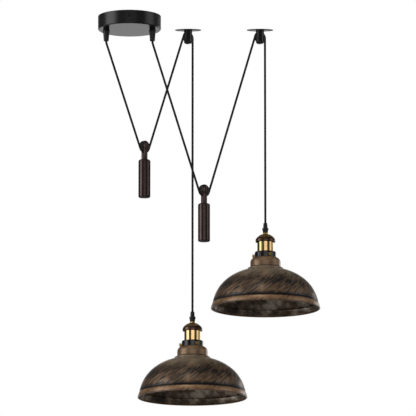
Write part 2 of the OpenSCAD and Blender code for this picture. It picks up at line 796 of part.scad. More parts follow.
module fitter(i) {
    hole_d = core_body_d + 4 * seat_gap;
    color("#1d1f20") place_lamp(i) translate([0, 0, fitter_z]) difference() {
        rotate_extrude() difference() {
            drum_half(fitter_d / 2, fitter_h, fitter_edge);
            translate([0, -fitter_wall])
                drum_half(fitter_d / 2 - fitter_wall, fitter_h, fitter_edge - fitter_wall);
        }
        translate([0, 0, -fitter_wall - bite]) cylinder(d = hole_d, h = fitter_wall + 2 * bite);
        for (k = [0:2])
            rotate([0, 0, thumb_turn + 120 * k]) translate([collar_r, 0, thumb_z - fitter_z])
                rotate([0, 90, 0])
                    cylinder(d = thumb_d + 2 * screw_clear, h = fitter_d / 2 - collar_r + bite);
    }
}

module clamp_ring(i) {
    bore = core_body_d + 2 * screw_clear;
    color("#202020") place_lamp(i)
        translate([0, 0, fitter_z - fitter_wall - seat_gap - clamp_h]) difference() {
            cylinder(d = bore + 2 * clamp_wall, h = clamp_h);
            translate([0, 0, -bite]) cylinder(d = bore, h = clamp_h + 2 * bite);
        }
}

module thumb_screw() {
    shank_r = fitter_d / 2 + thumb_out;
    difference() {
        union() {
            translate([collar_r + seat_gap, 0, 0]) rotate([0, 90, 0])
                cylinder(d = thumb_d, h = shank_r - collar_r + bite);
            translate([shank_r, 0, 0]) rotate([0, 90, 0]) cylinder(d = thumb_head_d, h = thumb_head_h);
        }
        rotate([45, 0, 0])
            translate([shank_r + (1 - thumb_slot_depth) * thumb_head_h, -thumb_slot / 2, -thumb_head_d])
                cube([thumb_head_h, thumb_slot, 2 * thumb_head_d]);
    }
}

module thumb_screws(i) {
    color("#c9a050") place_lamp(i)
        for (k = [0:2]) rotate([0, 0, thumb_turn + 120 * k]) translate([0, 0, thumb_z]) thumb_screw();
}

// Half outline of the dome: a large arc that runs into a smaller one at its edge
module dome_half(wall) {
    meet = edge_mid + dome_turn * (edge_arc - wall);
    intersection() {
        translate(dome_mid) circle(r = dome_arc - wall);
        translate([0, meet.y]) square([meet.x, dome_top - wall - meet.y]);
    }
    translate([0, meet.y]) square([dome_mid.x, dome_top - wall - meet.y]);
    translate([0, lip_z]) square([edge_mid.x, meet.y - lip_z + bite]);
    intersection() {
        translate(edge_mid) circle(r = edge_arc - wall);
        translate([0, lip_z]) square([dome_d, edge_rise + edge_arc]);
    }
}

// Half outline of the lip, from the groove down to the rim
module lip_half(wall) {
    under = wall * bite;
    reach = lip_h + bite + under;
    translate([0, rim_z - under]) square([lip_mid.x, reach]);
    intersection() {
        translate(lip_mid) circle(r = lip_arc - wall);
        translate([0, rim_z - under]) square([rim_d, reach]);
    }
}

// Half outline of the shade's outside, or of its inside when it is thinner by a wall
module shade_half(wall) {
    under = wall * bite;
    difference() {
        union() {
            translate([0, shade_z - shade_shoulder])
                square([collar_r - wall, shade_collar_h + shade_shoulder + under]);
            translate([0, shade_z - wall])
                drum_half(shade_neck_d / 2 - wall, shade_neck_h + dome_dip + bite, shade_shoulder - wall);
            translate([0, dome_top + foot_rise - wall])
                drum_half(foot_d / 2 - wall, foot_rise + foot_dip + bite, foot_rise - wall);
            dome_half(wall);
            lip_half(wall);
        }
        translate([shade_neck_d / 2 + neck_groove * groove_out, dome_top + foot_rise])
            circle(r = neck_groove + wall);
        translate([lip_r + groove_out * lip_groove, lip_z]) circle(r = lip_groove + wall);
    }
}

// The rolled rim, in half outline
module rim_half() {
    translate([rim_d / 2 - rim_bead / 2, rim_z + rim_bead / 2]) circle(d = rim_bead);
}

module shade(i) {
    color("#6b5340") place_lamp(i) rotate_extrude() difference() {
        union() {
            shade_half(0);
            rim_half();
        }
        difference() {
            shade_half(shade_wall);
            rim_half();
        }
    }
}

rose_cup();
rose_bracket();
side_screws();
terminal_block();
clamp_screws();
outlet(0);  // outlet_a
outlet_nut(0);  // outlet_nut_a
cord_inlet(0);  // cord_inlet_a
cord_out_leg(0);  // cord_out_leg_a
cord_back_leg(0);  // cord_back_leg_a
cord_over(0);  // cord_over_a
cord_drop(0);  // cord_drop_a
plate(0);  // plate_a
post(0);  // post_a
pulley_axle(0);  // pulley_axle_a
pulley_wheel(0);  // pulley_wheel_a
clevis(0);  // clevis_a
weight_axle(0);  // weight_axle_a
weight_wheel(0);  // weight_wheel_a
weight(0);  // weight_a
cord_bight(0);  // cord_bight_a
grip(0);  // grip_a
cord_tail(0);  // cord_tail_a
cap(0);  // cap_a
sleeve(0);  // sleeve_a
core(0);  // core_a
thread_shell(0);  // thread_shell_a
contact(0);  // contact_a
fitter(0);  // fitter_a
clamp_ring(0);  // clamp_ring_a
thumb_screws(0);  // thumb_screws_a
shade(0);  // shade_a
outlet(1);  // outlet_b
outlet_nut(1);  // outlet_nut_b
cord_inlet(1);  // cord_inlet_b
cord_out_leg(1);  // cord_out_leg_b
cord_back_leg(1);  // cord_back_leg_b
cord_over(1);  // cord_over_b
cord_drop(1);  // cord_drop_b
plate(1);  // plate_b
post(1);  // post_b
pulley_axle(1);  // pulley_axle_b
pulley_wheel(1);  // pulley_wheel_b
clevis(1);  // clevis_b
weight_axle(1);  // weight_axle_b
weight_wheel(1);  // weight_wheel_b
weight(1);  // weight_b
cord_bight(1);  // cord_bight_b
grip(1);  // grip_b
cord_tail(1);  // cord_tail_b
cap(1);  // cap_b
sleeve(1);  // sleeve_b
core(1);  // core_b
thread_shell(1);  // thread_shell_b
contact(1);  // contact_b
fitter(1);  // fitter_b
clamp_ring(1);  // clamp_ring_b
thumb_screws(1);  // thumb_screws_b
shade(1);  // shade_b
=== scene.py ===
"""Rise and fall pendant: two rust-brushed shades over ceiling pulleys, each balanced by a counterweight.

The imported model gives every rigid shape. Here its edges are eased, its finishes are made, and the shades,
the cords and the lamp threads get the forms that a plain solid leaves out. Metres, +Z up.
"""

import json
import math

import bmesh
import bpy
from mathutils import Matrix, Vector


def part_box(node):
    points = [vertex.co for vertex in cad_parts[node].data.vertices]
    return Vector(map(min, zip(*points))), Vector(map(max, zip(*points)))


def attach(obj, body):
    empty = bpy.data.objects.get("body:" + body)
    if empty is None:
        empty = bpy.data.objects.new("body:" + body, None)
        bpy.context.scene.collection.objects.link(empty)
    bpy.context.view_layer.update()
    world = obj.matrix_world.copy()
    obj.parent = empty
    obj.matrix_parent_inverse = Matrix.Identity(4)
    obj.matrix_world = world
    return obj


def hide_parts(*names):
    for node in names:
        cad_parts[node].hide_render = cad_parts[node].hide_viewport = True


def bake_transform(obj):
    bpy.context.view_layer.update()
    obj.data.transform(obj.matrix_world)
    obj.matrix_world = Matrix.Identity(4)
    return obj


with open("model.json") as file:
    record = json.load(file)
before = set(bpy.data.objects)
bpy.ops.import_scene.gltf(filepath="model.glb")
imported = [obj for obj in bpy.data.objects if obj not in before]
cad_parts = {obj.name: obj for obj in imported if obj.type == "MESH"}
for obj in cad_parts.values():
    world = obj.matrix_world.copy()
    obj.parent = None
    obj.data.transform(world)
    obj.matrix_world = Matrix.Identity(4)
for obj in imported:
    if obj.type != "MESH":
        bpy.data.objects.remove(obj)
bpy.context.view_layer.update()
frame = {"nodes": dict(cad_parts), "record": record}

MM = 0.001
STRANDS = ("a", "b")


# The shade's pattern lies on a tube of this radius, as long as the shade's side
WRAP_R = 100.0
WRAP_LONG = 204.0

# Sizes of the cords' route, in millimetres, as in the part's source. THREAD_TURN is how far along a cord one
# thread of its braid takes to come up to its neighbour's place.
CORD_D = 5.6
THREAD_TURN = 3.1
RUN_R = 15.0
BEND_DROP = 4.0
WAY_Z = -8.5
INLET_BEND = 12.0
OUTLET_GAP = 117.0
BLOCK_W = 18.0
BLOCK_PITCH = 7.0
CORE_D = 1.5
CORE_RUN = 12.0
CORE_SPREAD = 0.6
BITE = 1.0
# How far a cord's end and its cores go down into a lamp from the top of its grip
TAIL_LEN = 35.1
CORE_FOOT = 50.4

# The lamp's thread: its middle radius, pitch and turns, its ridge's radius and how deep it starts
THREAD_R = 13.5
THREAD_PITCH = 3.6
THREAD_TURNS = 7.0
THREAD_RIDGE = 0.75
THREAD_FOOT = 95.6


def middle(node):
    """The middle of a node's box, in millimetres."""
    low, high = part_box(node)
    return [(a + b) / 2 / MM for a, b in zip(low, high)]


def hub(name):
    """Where a joint turns, in millimetres."""
    joint = next(j for j in frame["record"]["behaviour"]["joints"] if j["name"] == name)
    return [v / MM for v in joint["pos_m"]]


# Where the frame has the outlets, the wheels and the top of each lamp's grip
OUTLET = {s: tuple(middle("outlet_" + s)[:2]) for s in STRANDS}
PULLEY = {s: tuple(hub(f"pulley_wheel_{s}_spin")[:2]) for s in STRANDS}
AXLE_Z = hub("pulley_wheel_a_spin")[2]
EXIT_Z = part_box("outlet_a")[0][2] / MM
WEIGHT_HUB = {s: hub(f"weight_wheel_{s}_spin") for s in STRANDS}
WHEEL = {s: (math.dist(OUTLET[s], WEIGHT_HUB[s][:2]), WEIGHT_HUB[s][2]) for s in STRANDS}
LAMP = {s: (*middle("grip_" + s)[:2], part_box("grip_" + s)[1][2] / MM) for s in STRANDS}


# ---------------------------------------------------------------- nodes and finishes


def linear(colour):
    """An sRGB hex value as linear red, green, blue and alpha."""
    parts = [int(colour[i : i + 2], 16) / 255 for i in (1, 3, 5)]
    return [c / 12.92 if c <= 0.04045 else ((c + 0.055) / 1.055) ** 2.4 for c in parts] + [1.0]


def add(tree, kind, settings=None, links=None):
    """Adds a node, with the values of its properties and sockets, and what its sockets are linked to."""
    node = tree.nodes.new(kind)
    for key, value in (settings or {}).items():
        if isinstance(key, str) and hasattr(node, key):
            setattr(node, key, value)
        else:
            node.inputs[key].default_value = value
    for key, source in (links or {}).items():
        tree.links.new(source, node.inputs[key])
    return node


def per(size_mm):
    """The scale of a pattern whose features are this many millimetres wide."""
    return 1 / (size_mm * MM)


def finish(name, **sockets):
    """A material of one Principled shader: its tree, the shader and the object's own coordinates."""
    material = bpy.data.materials.new(name)
    material.use_nodes = True
    tree = material.node_tree
    tree.nodes.clear()
    shader = add(tree, "ShaderNodeBsdfPrincipled", {key.replace("_", " "): v for key, v in sockets.items()})
    add(tree, "ShaderNodeOutputMaterial", links={"Surface": shader.outputs["BSDF"]})
    place = add(tree, "ShaderNodeTexCoord").outputs["Object"]
    return material, tree, shader, place


def speckle(tree, place, size_mm, detail=2.0):
    """Noise with grains of one size."""
    return add(
        tree, "ShaderNodeTexNoise", {"Scale": per(size_mm), "Detail": detail}, {"Vector": place}
    ).outputs["Fac"]


def shades(tree, value, stops):
    """Colours along a value."""
    ramp = add(tree, "ShaderNodeValToRGB", links={"Fac": value})
    spots = ramp.color_ramp.elements
    while len(spots) < len(stops):
        spots.new(0.5)
    for spot, (at, colour) in zip(spots, stops):
        spot.position = at
        spot.color = linear(colour)
    return ramp.outputs["Color"]


def relief(tree, shader, height, depth_mm, strength=1.0):
    """Turns a height into a bump of a real depth."""
    bump = add(
        tree, "ShaderNodeBump", {"Strength": strength, "Distance": depth_mm * MM}, {"Height": height}
    )
    tree.links.new(bump.outputs["Normal"], shader.inputs["Normal"])


def wear(tree, shader, value, low, high):
    """Roughness that runs between two values."""
    spread = add(tree, "ShaderNodeMapRange", {"To Min": low, "To Max": high}, {"Value": value})
    tree.links.new(spread.outputs["Result"], shader.inputs["Roughness"])


def calc(tree, operation, *terms):
    """One step of arithmetic on numbers or sockets."""
    given = {k: term for k, term in enumerate(terms) if isinstance(term, (int, float))}
    taken = {k: term for k, term in enumerate(terms) if k not in given}
    return add(tree, "ShaderNodeMath", {"operation": operation, **given}, taken).outputs[0]


def blend(tree, share, low, high):
    """One colour, a hex value or a socket, that turns into another as a share goes from 0 to 1."""
    given = {k: linear(term) for k, term in ((6, low), (7, high)) if isinstance(term, str)}
    taken = {k: term for k, term in ((6, low), (7, high)) if k not in given}
    return add(tree, "ShaderNodeMix", {"data_type": "RGBA", **given}, {0: share, **taken}).outputs[2]


def turning_marks(tree, place, round_mm, up_mm=0.5):
    """Noise drawn out round a turned piece, with its marks this far apart up it."""
    drawn = add(
        tree,
        "ShaderNodeMapping",
        {"Scale": (per(round_mm), per(round_mm), per(up_mm))},
        {"Vector": place},
    ).outputs["Vector"]
    return add(tree, "ShaderNodeTexNoise", {"Scale": 1.0, "Detail": 1.0}, {"Vector": drawn}).outputs["Fac"]


def satin_black_powder_coat():
    """Powder coat on steel: nearly black with a soft, even sheen."""
    material, tree, shader, place = finish("satin black powder coat")
    peel = speckle(tree, place, 1.2)
    tint = shades(tree, speckle(tree, place, 25), [(0.3, "#0d0c0c"), (0.7, "#110f0f")])
    tree.links.new(tint, shader.inputs["Base Color"])
    wear(tree, shader, peel, 0.28, 0.32)
    relief(tree, shader, peel, 0.002)
    return material


def black_enamel():
    """Stove enamel on the pulley posts: deep black and glossy, so that it shows lit edges."""
    material, tree, shader, place = finish("black stove enamel")
    drift = speckle(tree, place, 4)
    tree.links.new(shades(tree, drift, [(0.3, "#0b0b0b"), (0.7, "#0f0f0f")]), shader.inputs["Base Color"])
    wear(tree, shader, drift, 0.14, 0.18)
    return material


def moulded_black_nylon():
    """Injection-moulded nylon of the cord outlets and grips: black, with an eroded texture of 0.5 mm."""
    material, tree, shader, place = finish("moulded black nylon", Specular_IOR_Level=0.4)
    grain = speckle(tree, place, 0.5, 3)
    tint = shades(tree, speckle(tree, place, 9), [(0.35, "#0f0f0f"), (0.7, "#191919")])
    tree.links.new(tint, shader.inputs["Base Color"])
    wear(tree, shader, grain, 0.3, 0.46)
    relief(tree, shader, grain, 0.03)
    return material


def black_bakelite():
    """Bakelite of the shade fitter: blue-black and polished by its mould."""
    material, tree, shader, place = finish("black bakelite", Specular_IOR_Level=0.5)
    drift = speckle(tree, place, 6)
    tree.links.new(shades(tree, drift, [(0.3, "#0b0d0f"), (0.7, "#101315")]), shader.inputs["Base Color"])
    wear(tree, shader, drift, 0.14, 0.2)
    return material


def dark_bronze_plate():
    """Dark bronze plating on the turned weights: plum-brown metal with faint turning marks 0.5 mm apart."""
    edge_tint = linear("#4a4141")
    material, tree, shader, place = finish("dark bronze plating", Metallic=0.9, Specular_Tint=edge_tint)
    marks = turning_marks(tree, place, 40)
    tint = shades(tree, speckle(tree, place, 20), [(0.3, "#483d3b"), (0.7, "#4e4341")])
    tree.links.new(tint, shader.inputs["Base Color"])
    wear(tree, shader, marks, 0.19, 0.23)
    return material


def polished_brass():
    """Lacquered brass of the lamp sleeve: polished, with a faint spin round it in its gloss."""
    material, tree, shader, place = finish("polished lacquered brass", Metallic=1.0)
    spin = turning_marks(tree, place, 30)
    tint = shades(tree, speckle(tree, place, 12), [(0.3, "#dab680"), (0.7, "#e2c08a")])
    tree.links.new(tint, shader.inputs["Base Color"])
    wear(tree, shader, spin, 0.08, 0.1)
    return material


def aged_brass():
    """Brass of the lamp cap: gold on its dome, brown on the band round its foot, 13 mm down."""
    material, tree, shader, place = finish("aged brass", Metallic=1.0)
    stain = speckle(tree, place, 5, 3)
    gold = shades(tree, stain, [(0.32, "#b58c4e"), (0.5, "#d9b36c"), (0.68, "#ecd08e")])
    brown = shades(tree, stain, [(0.32, "#4c3a33"), (0.68, "#6b5347")])
    below = add(tree, "ShaderNodeAttribute", {"attribute_name": "below_top"}).outputs["Fac"]
    band = add(
        tree, "ShaderNodeMapRange", {"From Min": 12.5 * MM, "From Max": 14 * MM}, {"Value": below}
    ).outputs["Result"]
    tree.links.new(blend(tree, band, gold, brown), shader.inputs["Base Color"])
    wear(tree, shader, stain, 0.26, 0.36)
    return material


def turned_brass():
    """Plain turned brass of the screws, the lamp's thread and its contact."""
    material, tree, shader, place = finish("turned brass", Metallic=1.0)
    marks = speckle(tree, place, 0.8, 3)
    tint = shades(tree, speckle(tree, place, 3), [(0.3, "#d8b067"), (0.7, "#f0d28e")])
    tree.links.new(tint, shader.inputs["Base Color"])
    wear(tree, shader, marks, 0.2, 0.34)
    relief(tree, shader, marks, 0.01)
    return material


def zinc_plated_steel():
    """Zinc plate on the bracket and the nuts: pale grey, clouded in patches of 3 mm."""
    material, tree, shader, place = finish("zinc-plated steel", Metallic=1.0)
    cloud = speckle(tree, place, 3, 3)
    tree.links.new(shades(tree, cloud, [(0.3, "#a4a7aa"), (0.7, "#c6c8ca")]), shader.inputs["Base Color"])
    wear(tree, shader, cloud, 0.3, 0.45)
    relief(tree, shader, cloud, 0.01)
    return material


def dull_steel():
    """Bare steel of the axles: dark grey, with fine drawing marks."""
    material, tree, shader, place = finish("drawn steel", Metallic=1.0)
    marks = speckle(tree, place, 0.6, 3)
    tint = shades(tree, speckle(tree, place, 2), [(0.3, "#35302e"), (0.7, "#4a4542")])
    tree.links.new(tint, shader.inputs["Base Color"])
    wear(tree, shader, marks, 0.3, 0.45)
    relief(tree, shader, marks, 0.01)
    return material


def moulded_plastic(name, low, high, rough):
    """A plain moulded plastic, lightly grained."""
    material, tree, shader, place = finish(name)
    grain = speckle(tree, place, 0.8, 3)
    tint = shades(tree, speckle(tree, place, 7), [(0.3, low), (0.7, high)])
    tree.links.new(tint, shader.inputs["Base Color"])
    wear(tree, shader, grain, rough - 0.06, rough + 0.06)
    relief(tree, shader, grain, 0.02)
    return material


def braided_polyester():
    """Polyester braid over the cords: eight threads each way round, 1.1 mm wide, dark grey and dull."""
    material, tree, shader, _ = finish("braided polyester", Specular_IOR_Level=0.25)
    along = add(tree, "ShaderNodeUVMap", {"uv_map": "braid"}).outputs["UV"]
    turn = add(tree, "ShaderNodeSeparateXYZ", links={"Vector": along}).outputs
    threads = [
        calc(tree, "MULTIPLY_ADD", turn["X"], 8.0, calc(tree, "MULTIPLY", turn["Y"], way * per(THREAD_TURN)))
        for way in (1, -1)
    ]
    cells = [calc(tree, "FLOOR", thread) for thread in threads]
    over = calc(tree, "FLOORED_MODULO", calc(tree, "ADD", *cells), 2.0)
    ridges = [calc(tree, "PINGPONG", thread, 0.5) for thread in threads]
    ridge = add(
        tree, "ShaderNodeMix", {"data_type": "FLOAT"}, {0: over, 2: ridges[0], 3: ridges[1]}
    ).outputs["Result"]
    # The threads are lighter on their crowns and darker where they meet: painted shade in the braid's
    # creases
    tint = shades(tree, ridge, [(0.0, "#191919"), (0.22, "#1e1e1d"), (0.5, "#242322")])
    tree.links.new(tint, shader.inputs["Base Color"])
    wear(tree, shader, ridge, 0.85, 0.7)
    relief(tree, shader, ridge, 0.02)
    return material


def brushed_rust():
    """Brushed rust paint on spun aluminium: bronze over black, dragged off in slanting strokes."""
    material, tree, shader, _ = finish(
        "brushed rust on spun aluminium", Coat_Weight=0.25, Coat_Roughness=0.25
    )
    place = add(tree, "ShaderNodeAttribute", {"attribute_name": "on_shade"}).outputs["Vector"]
    inside = add(tree, "ShaderNodeAttribute", {"attribute_name": "inside"}).outputs["Fac"]
    on_wrap = add(tree, "ShaderNodeUVMap", {"uv_map": "wrap"}).outputs["UV"]
    wrap = add(tree, "ShaderNodeSeparateXYZ", links={"Vector": on_wrap}).outputs
    turn, down = wrap["X"], wrap["Y"]

    def strokes(width, length, slant):
        """Noise dragged along a helix, so that its strokes lean the same way all round and have no seam."""
        lean = WRAP_LONG / (WRAP_R * math.tan(math.radians(slant)))
        angle = calc(tree, "MULTIPLY_ADD", turn, 2 * math.pi, calc(tree, "MULTIPLY", down, lean))
        ring = WRAP_R / width * math.sin(math.radians(slant))
        spot = add(
            tree,
            "ShaderNodeCombineXYZ",
            links={
                "X": calc(tree, "MULTIPLY", calc(tree, "COSINE", angle), ring),
                "Y": calc(tree, "MULTIPLY", calc(tree, "SINE", angle), ring),
                "Z": calc(tree, "MULTIPLY", down, WRAP_LONG / length),
            },
        )
        return add(
            tree, "ShaderNodeTexNoise", {"Scale": 1.0, "Detail": 2.0}, {"Vector": spot.outputs["Vector"]}
        ).outputs["Fac"]

    thick = strokes(1.5, 20, 47)
    thin = strokes(0.9, 13, 50)
    drag = calc(tree, "MULTIPLY_ADD", thin, 0.45, calc(tree, "MULTIPLY", thick, 0.55))
    patches = speckle(tree, place, 42, 2)
    # How much black is left, from the collar down to the rim: least on neck and lip, most in the grooves.
    # Besides the strokes, the grooves' extra black is painted shade, and the darker band down the middle of
    # the dome is a painted dark reflection
    black_with_painted_shade = shades(
        tree,
        down,
        [(0.0, "#767676"), (0.19, "#727272"), (0.21, "#f0f0f0"), (0.245, "#808080"), (0.45, "#7a7a7a"),
         (0.58, "#a2a2a2"), (0.7, "#c0c0c0"), (0.86, "#989898"), (0.908, "#e0e0e0"), (0.93, "#e0e0e0"),
         (0.942, "#707070"), (1.0, "#7c7c7c")],
    )
    # The inside takes more black than the outside: painted shade
    black_with_painted_shade = blend(tree, inside, black_with_painted_shade, "#909090")
    # The paint's colour down the shade: lighter on the upper dome as a painted highlight, darker down the
    # middle of the dome as a painted dark reflection, and lighter on the lip as a painted highlight
    bare_with_painted_light = shades(
        tree,
        down,
        [(0.0, "#94795a"), (0.2, "#8f7355"), (0.26, "#978873"), (0.5, "#9a8971"), (0.65, "#8c755d"),
         (0.88, "#84684d"), (0.94, "#a27f5b"), (0.98, "#987757"), (1.0, "#755c46")],
    )
    tone = shades(tree, patches, [(0.3, "#b4aea8"), (0.5, "#e0dcd6"), (0.7, "#ffffff")])
    paint = add(
        tree, "ShaderNodeMix", {"data_type": "RGBA", "blend_type": "MULTIPLY", 0: 1.0}, {6: bare_with_painted_light, 7: tone}
    ).outputs[2]
    copper = shades(tree, speckle(tree, place, 30, 3), [(0.54, "#000000"), (0.68, "#a0a0a0")])
    paint = blend(tree, copper, paint, "#6e3d2c")
    # The inside's colour: darker than the paint outside as painted shade, with pale silvery patches as
    # painted highlights; near the rim it takes the outside's paint
    inside_painted_shade_and_sheen = shades(tree, patches, [(0.38, "#3a2f26"), (0.5, "#6a5a48"), (0.62, "#b4a898")])
    rim_tint = shades(tree, down, [(0.97, "#000000"), (0.99, "#ffffff")])
    inside_painted_shade_and_sheen = blend(tree, rim_tint, inside_painted_shade_and_sheen, paint)
    ground = blend(tree, inside, paint, inside_painted_shade_and_sheen)
    dark = add(
        tree,
        "ShaderNodeMapRange",
        {"From Min": 0.515, "From Max": 0.548},
        {"Value": calc(tree, "ADD", drag, calc(tree, "MULTIPLY_ADD", black_with_painted_shade, 0.42, -0.14))},
    ).outputs["Result"]
    tree.links.new(blend(tree, dark, ground, "#1e1a17"), shader.inputs["Base Color"])
    metal = add(tree, "ShaderNodeMapRange", {"To Min": 0.35, "To Max": 0.5}, {"Value": inside})
    tree.links.new(metal.outputs["Result"], shader.inputs["Metallic"])
    wear(tree, shader, dark, 0.34, 0.5)
    relief(tree, shader, drag, 0.05)
    return material


FINISH = {
    "powder": satin_black_powder_coat(),
    "enamel": black_enamel(),
    "nylon": moulded_black_nylon(),
    "bakelite": black_bakelite(),
    "bronze": dark_bronze_plate(),
    "sleeve": polished_brass(),
    "cap": aged_brass(),
    "brass": turned_brass(),
    "zinc": zinc_plated_steel(),
    "axle": dull_steel(),
    "wheel": moulded_plastic("black acetal", "#101010", "#1a1a1a", 0.5),
    "block": moulded_plastic("polyamide terminal block", "#dcd5c3", "#ebe5d6", 0.55),
    "core": moulded_plastic("glass-filled thermoset", "#dedacf", "#efebe2", 0.5),
    "braid": braided_polyester(),
    "rust": brushed_rust(),
    "brown": moulded_plastic("brown wire insulation", "#4d2a1c", "#5d3526", 0.4),
    "blue": moulded_plastic("blue wire insulation", "#1f4f8a", "#2a62a3", 0.4),
    "earth": moulded_plastic("green and yellow wire insulation", "#5f8a2b", "#b9b432", 0.4),
}


# ---------------------------------------------------------------- shapes


def piece_from(name, mesh, material):
    """Puts a mesh in the scene as one piece of one finish."""
    piece = bpy.data.objects.new(name, mesh)
    bpy.context.scene.collection.objects.link(piece)
    mesh.materials.clear()
    mesh.materials.append(material)
    return piece


def plain_mesh(piece):
    """Replaces a piece's mesh by what its modifiers make of it, and takes them off."""
    bpy.context.view_layer.update()
    made = bpy.data.meshes.new_from_object(piece.evaluated_get(bpy.context.evaluated_depsgraph_get()))
    piece.modifiers.clear()
    piece.data = made
    return piece


def eased(node, edge_mm, material):
    """A node's own shape with its doubles merged, its edges eased by a small bevel, and smooth curves."""
    mesh = frame["nodes"][node].data.copy()
    shape = bmesh.new()
    shape.from_mesh(mesh)
    bmesh.ops.remove_doubles(shape, verts=shape.verts, dist=2e-6)
    bmesh.ops.dissolve_limit(
        shape, angle_limit=math.radians(0.5), verts=shape.verts, edges=shape.edges
    )
    bmesh.ops.recalc_face_normals(shape, faces=shape.faces)
    shape.to_mesh(mesh)
    shape.free()
    mesh.polygons.foreach_set("use_smooth", [True] * len(mesh.polygons))
    piece = piece_from(node + "_finished", mesh, material)
    bevel = piece.modifiers.new("eased edges", "BEVEL")
    bevel.width = edge_mm * MM
    bevel.segments = 2
    bevel.limit_method = "ANGLE"
    bevel.angle_limit = math.radians(38)
    bevel.use_clamp_overlap = True
    bevel.harden_normals = False
    weigh = piece.modifiers.new("flat faces stay flat", "WEIGHTED_NORMAL")
    weigh.keep_sharp = True
    weigh.weight = 80
    plain_mesh(piece)
    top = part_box(node)[1][2]
    depth = piece.data.attributes.new("below_top", "FLOAT", "POINT")
    depth.data.foreach_set("value", [top - vertex.co.z for vertex in piece.data.vertices])
    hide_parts(node)
    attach(piece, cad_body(node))
    return piece


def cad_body(node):
    """The body that a node belongs to."""
    bodies = frame["record"]["behaviour"]["bodies"]
    return next(body for body, members in bodies.items() if node in members)


def arc(middle, radius, start, end, steps):
    """Points along an arc, from one angle to another, in degrees."""
    angles = [math.radians(start + (end - start) * k / steps) for k in range(steps + 1)]
    return [(middle[0] + radius * math.cos(a), middle[1] + radius * math.sin(a)) for a in angles]


def crossing(mid, radius, other, reach, pick):
    """Where two circles cross: the higher point with max, the lower with min."""
    apart = math.dist(mid, other)
    along = (radius**2 - reach**2 + apart**2) / (2 * apart)
    aside = math.sqrt(radius**2 - along**2)
    way = ((other[0] - mid[0]) / apart, (other[1] - mid[1]) / apart)
    spots = [
        (mid[0] + along * way[0] - side * way[1], mid[1] + along * way[1] + side * way[0])
        for side in (aside, -aside)
    ]
    return pick(spots, key=lambda spot: spot[1])


def bearing(mid, spot):
    """The angle from a middle to a point, in degrees."""
    return math.degrees(math.atan2(spot[1] - mid[1], spot[0] - mid[0]))


def between(start, end, step):
    """Points on a straight line, about a step apart, without its end."""
    count = max(1, round(math.dist(start, end) / step))
    return [
        (start[0] + (end[0] - start[0]) * k / count, start[1] + (end[1] - start[1]) * k / count)
        for k in range(count)
    ]


# The shade's sizes under its lamp's grip, in millimetres. Its collar, its neck and its rim are as in the
# part's source. Its dome and its lip follow the photo, where the solid draws in above the lip.
SHADE_STEPS = 144
SHADE_WALL = 0.8
COLLAR_R = 25.0
COLLAR_TOP = -82.4
SHADE_TOP = -89.4
NECK_R = 38.8
SHOULDER = 13.5
DOME_TOP = -118.7
NECK_GROOVE = 2.6
FOOT_R = 46.0
FOOT_RISE = 2.3
DOME_R = 134.6
DOME_ARC = 124.0
EDGE_ARC = 100.0
EDGE_SINK = 18.9
LIP_Z = -205.0
LIP_GROOVE = 1.6
LIP_STEP = 1.0
RIM_Z = -221.5
RIM_R = 139.6
BEAD = 3.0


def shade_side(wall):
    """Half outline of the shade from collar to rim, on its outside or, a wall further in, on its inside."""
    edge_mid = (DOME_R - math.sqrt(EDGE_ARC**2 - EDGE_SINK**2), LIP_Z - EDGE_SINK)
    dome_z = DOME_TOP - DOME_ARC
    gap = DOME_ARC - EDGE_ARC
    dome_mid = (edge_mid[0] - math.sqrt(gap**2 - (edge_mid[1] - dome_z) ** 2), dome_z)
    lip_r = DOME_R - LIP_STEP
    flare = RIM_R - BEAD / 4 - lip_r
    lip_arc = (flare**2 + (LIP_Z - RIM_Z) ** 2) / (2 * flare)
    lip_mid = (lip_r + flare - lip_arc, RIM_Z)
    foot_top = DOME_TOP + FOOT_RISE

    side = between((COLLAR_R - wall, COLLAR_TOP), (COLLAR_R - wall, SHADE_TOP - wall), 1.5)
    side += arc((NECK_R - SHOULDER, SHADE_TOP - SHOULDER), SHOULDER - wall, 90, 0, 18)
    # The groove round the neck's foot, and the step outside it
    hollow, pressed = (NECK_R + NECK_GROOVE / 2, foot_top), NECK_GROOVE + wall
    start = math.degrees(math.acos((NECK_R - wall - hollow[0]) / pressed))
    end = 360 - math.degrees(math.asin(wall / pressed))
    neck = (NECK_R - wall, foot_top + pressed * math.sin(math.radians(start)))
    side += between((NECK_R - wall, SHADE_TOP - SHOULDER - 0.5), neck, 1.0)
    side += arc(hollow, pressed, start, end, 20)
    side += arc((FOOT_R - FOOT_RISE, foot_top - FOOT_RISE), FOOT_RISE - wall, 90, 0, 8)
    # The dome: a large arc that runs into a smaller one
    start = math.degrees(math.acos((FOOT_R - wall - dome_mid[0]) / (DOME_ARC - wall)))
    meet = bearing(dome_mid, edge_mid)
    side += arc(dome_mid, DOME_ARC - wall, start, meet, 90)
    hollow, pressed = (lip_r + LIP_GROOVE / 2, LIP_Z), LIP_GROOVE + wall
    enter = crossing(edge_mid, EDGE_ARC - wall, hollow, pressed, max)
    leave = crossing(lip_mid, lip_arc - wall, hollow, pressed, min)
    side += arc(edge_mid, EDGE_ARC - wall, meet, bearing(edge_mid, enter), 50)[1:]
    side += arc(hollow, pressed, bearing(hollow, enter), 360 + bearing(hollow, leave), 16)[1:]
    last = math.degrees(BEAD / 2 / lip_arc)
    side += arc(lip_mid, lip_arc - wall, bearing(lip_mid, leave), last, 40)[1:]
    return side


